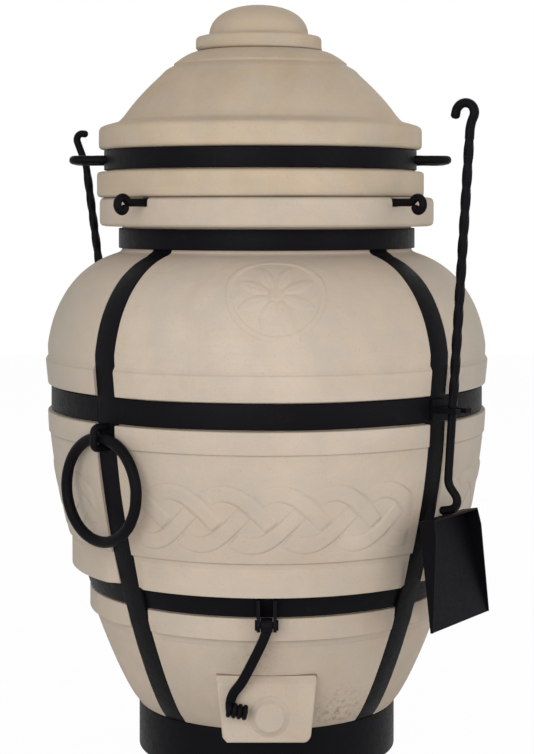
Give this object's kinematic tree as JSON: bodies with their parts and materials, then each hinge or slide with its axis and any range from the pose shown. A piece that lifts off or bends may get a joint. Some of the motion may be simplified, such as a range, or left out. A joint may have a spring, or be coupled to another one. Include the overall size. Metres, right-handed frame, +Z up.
{
  "type": "clay tandoor oven",
  "caption": "Home-size clay tandoor oven in an iron strap cage, with domed lid and cap, ash door with swinging latch, fire grate, hanging cross, carrying rings, scoop and poker.",
  "frame": {"origin": "centre of the pot's foot, on the floor", "axes": "+Z up along the pot's axis; -Y towards the ash door; +X to the right as seen facing the ash door"},
  "size_m": [0.56, 0.56, 0.9353],
  "materials": {
    "clay": "fired clay, matt",
    "lid_clay": "fired clay, matt",
    "iron": "black paint over forged iron, satin",
    "cast_iron": "bare cast iron, matt"
  },
  "bodies": {
    "oven": {"clay_pot": "clay", "base_ring": "iron", "lower_band": "iron", "middle_band": "iron", "neck_band": "iron", "strap_front_left": "iron", "strap_front_right": "iron", "strap_back_left": "iron", "strap_back_right": "iron", "staple_front_left": "iron", "staple_back_right": "iron", "scoop_holder": "iron", "poker_holder": "iron", "latch_bracket": "iron", "latch_pin": "iron"},
    "lid": {"lid_shell": "lid_clay", "lid_band": "iron", "lid_handle_left": "iron", "lid_handle_right": "iron"},
    "cap": {"lid_cap": "lid_clay"},
    "cross": {"hanging_cross": "iron"},
    "grate": {"fire_grate": "cast_iron"},
    "door": {"ash_door": "clay"},
    "latch": {"door_latch": "iron"},
    "carry_ring_left": {"ring_front_left": "iron"},
    "carry_ring_right": {"ring_back_right": "iron"},
    "scoop": {"scoop_handle": "iron", "scoop_pan": "iron"},
    "poker_bar": {"poker": "iron"}
  },
  "joints": [
    {"name": "lid_lift", "type": "slide", "parent": "oven", "child": "lid", "axis": [0, 0, 1], "range_m": [0, 0.35]},
    {"name": "cap_lift", "type": "slide", "parent": "lid", "child": "cap", "axis": [0, 0, 1], "range_m": [0, 0.15]},
    {"name": "cross_lift", "type": "slide", "parent": "oven", "child": "cross", "axis": [0, 0, 1], "range_m": [0, 0.18]},
    {"name": "grate_lift", "type": "slide", "parent": "oven", "child": "grate", "axis": [0, 0, 1], "range_m": [0, 0.5]},
    {"name": "door_pull", "type": "slide", "parent": "oven", "child": "door", "axis": [0, -1, 0], "range_m": [0, 0.085]},
    {"name": "latch_swing", "type": "hinge", "parent": "oven", "child": "latch", "pos_m": [0, -0.23714, 0.199], "axis": [-1, 0, 0], "range_deg": [0, 70]},
    {"name": "left_ring_swing", "type": "hinge", "parent": "oven", "child": "carry_ring_left", "pos_m": [-0.19257, -0.20651, 0.40905], "axis": [-0.7314, 0.682, 0], "range_deg": [-3, 115]},
    {"name": "right_ring_swing", "type": "hinge", "parent": "oven", "child": "carry_ring_right", "pos_m": [0.19257, 0.20651, 0.40905], "axis": [0.7314, -0.682, 0], "range_deg": [-3, 115]},
    {"name": "scoop_unhook", "type": "slide", "parent": "oven", "child": "scoop", "axis": [0.6895, -0.6385, 0.342], "range_m": [0, 0.1]},
    {"name": "poker_unhook", "type": "slide", "parent": "oven", "child": "poker_bar", "axis": [-0.6872, 0.6409, 0.342], "range_m": [0, 0.1]}
  ],
  "couplings": [
    {"joint": "cross_lift", "follows": "lid_lift", "ratio": 0.5},
    {"joint": "latch_swing", "follows": "door_pull", "rad_per_m": 14.25}
  ]
}
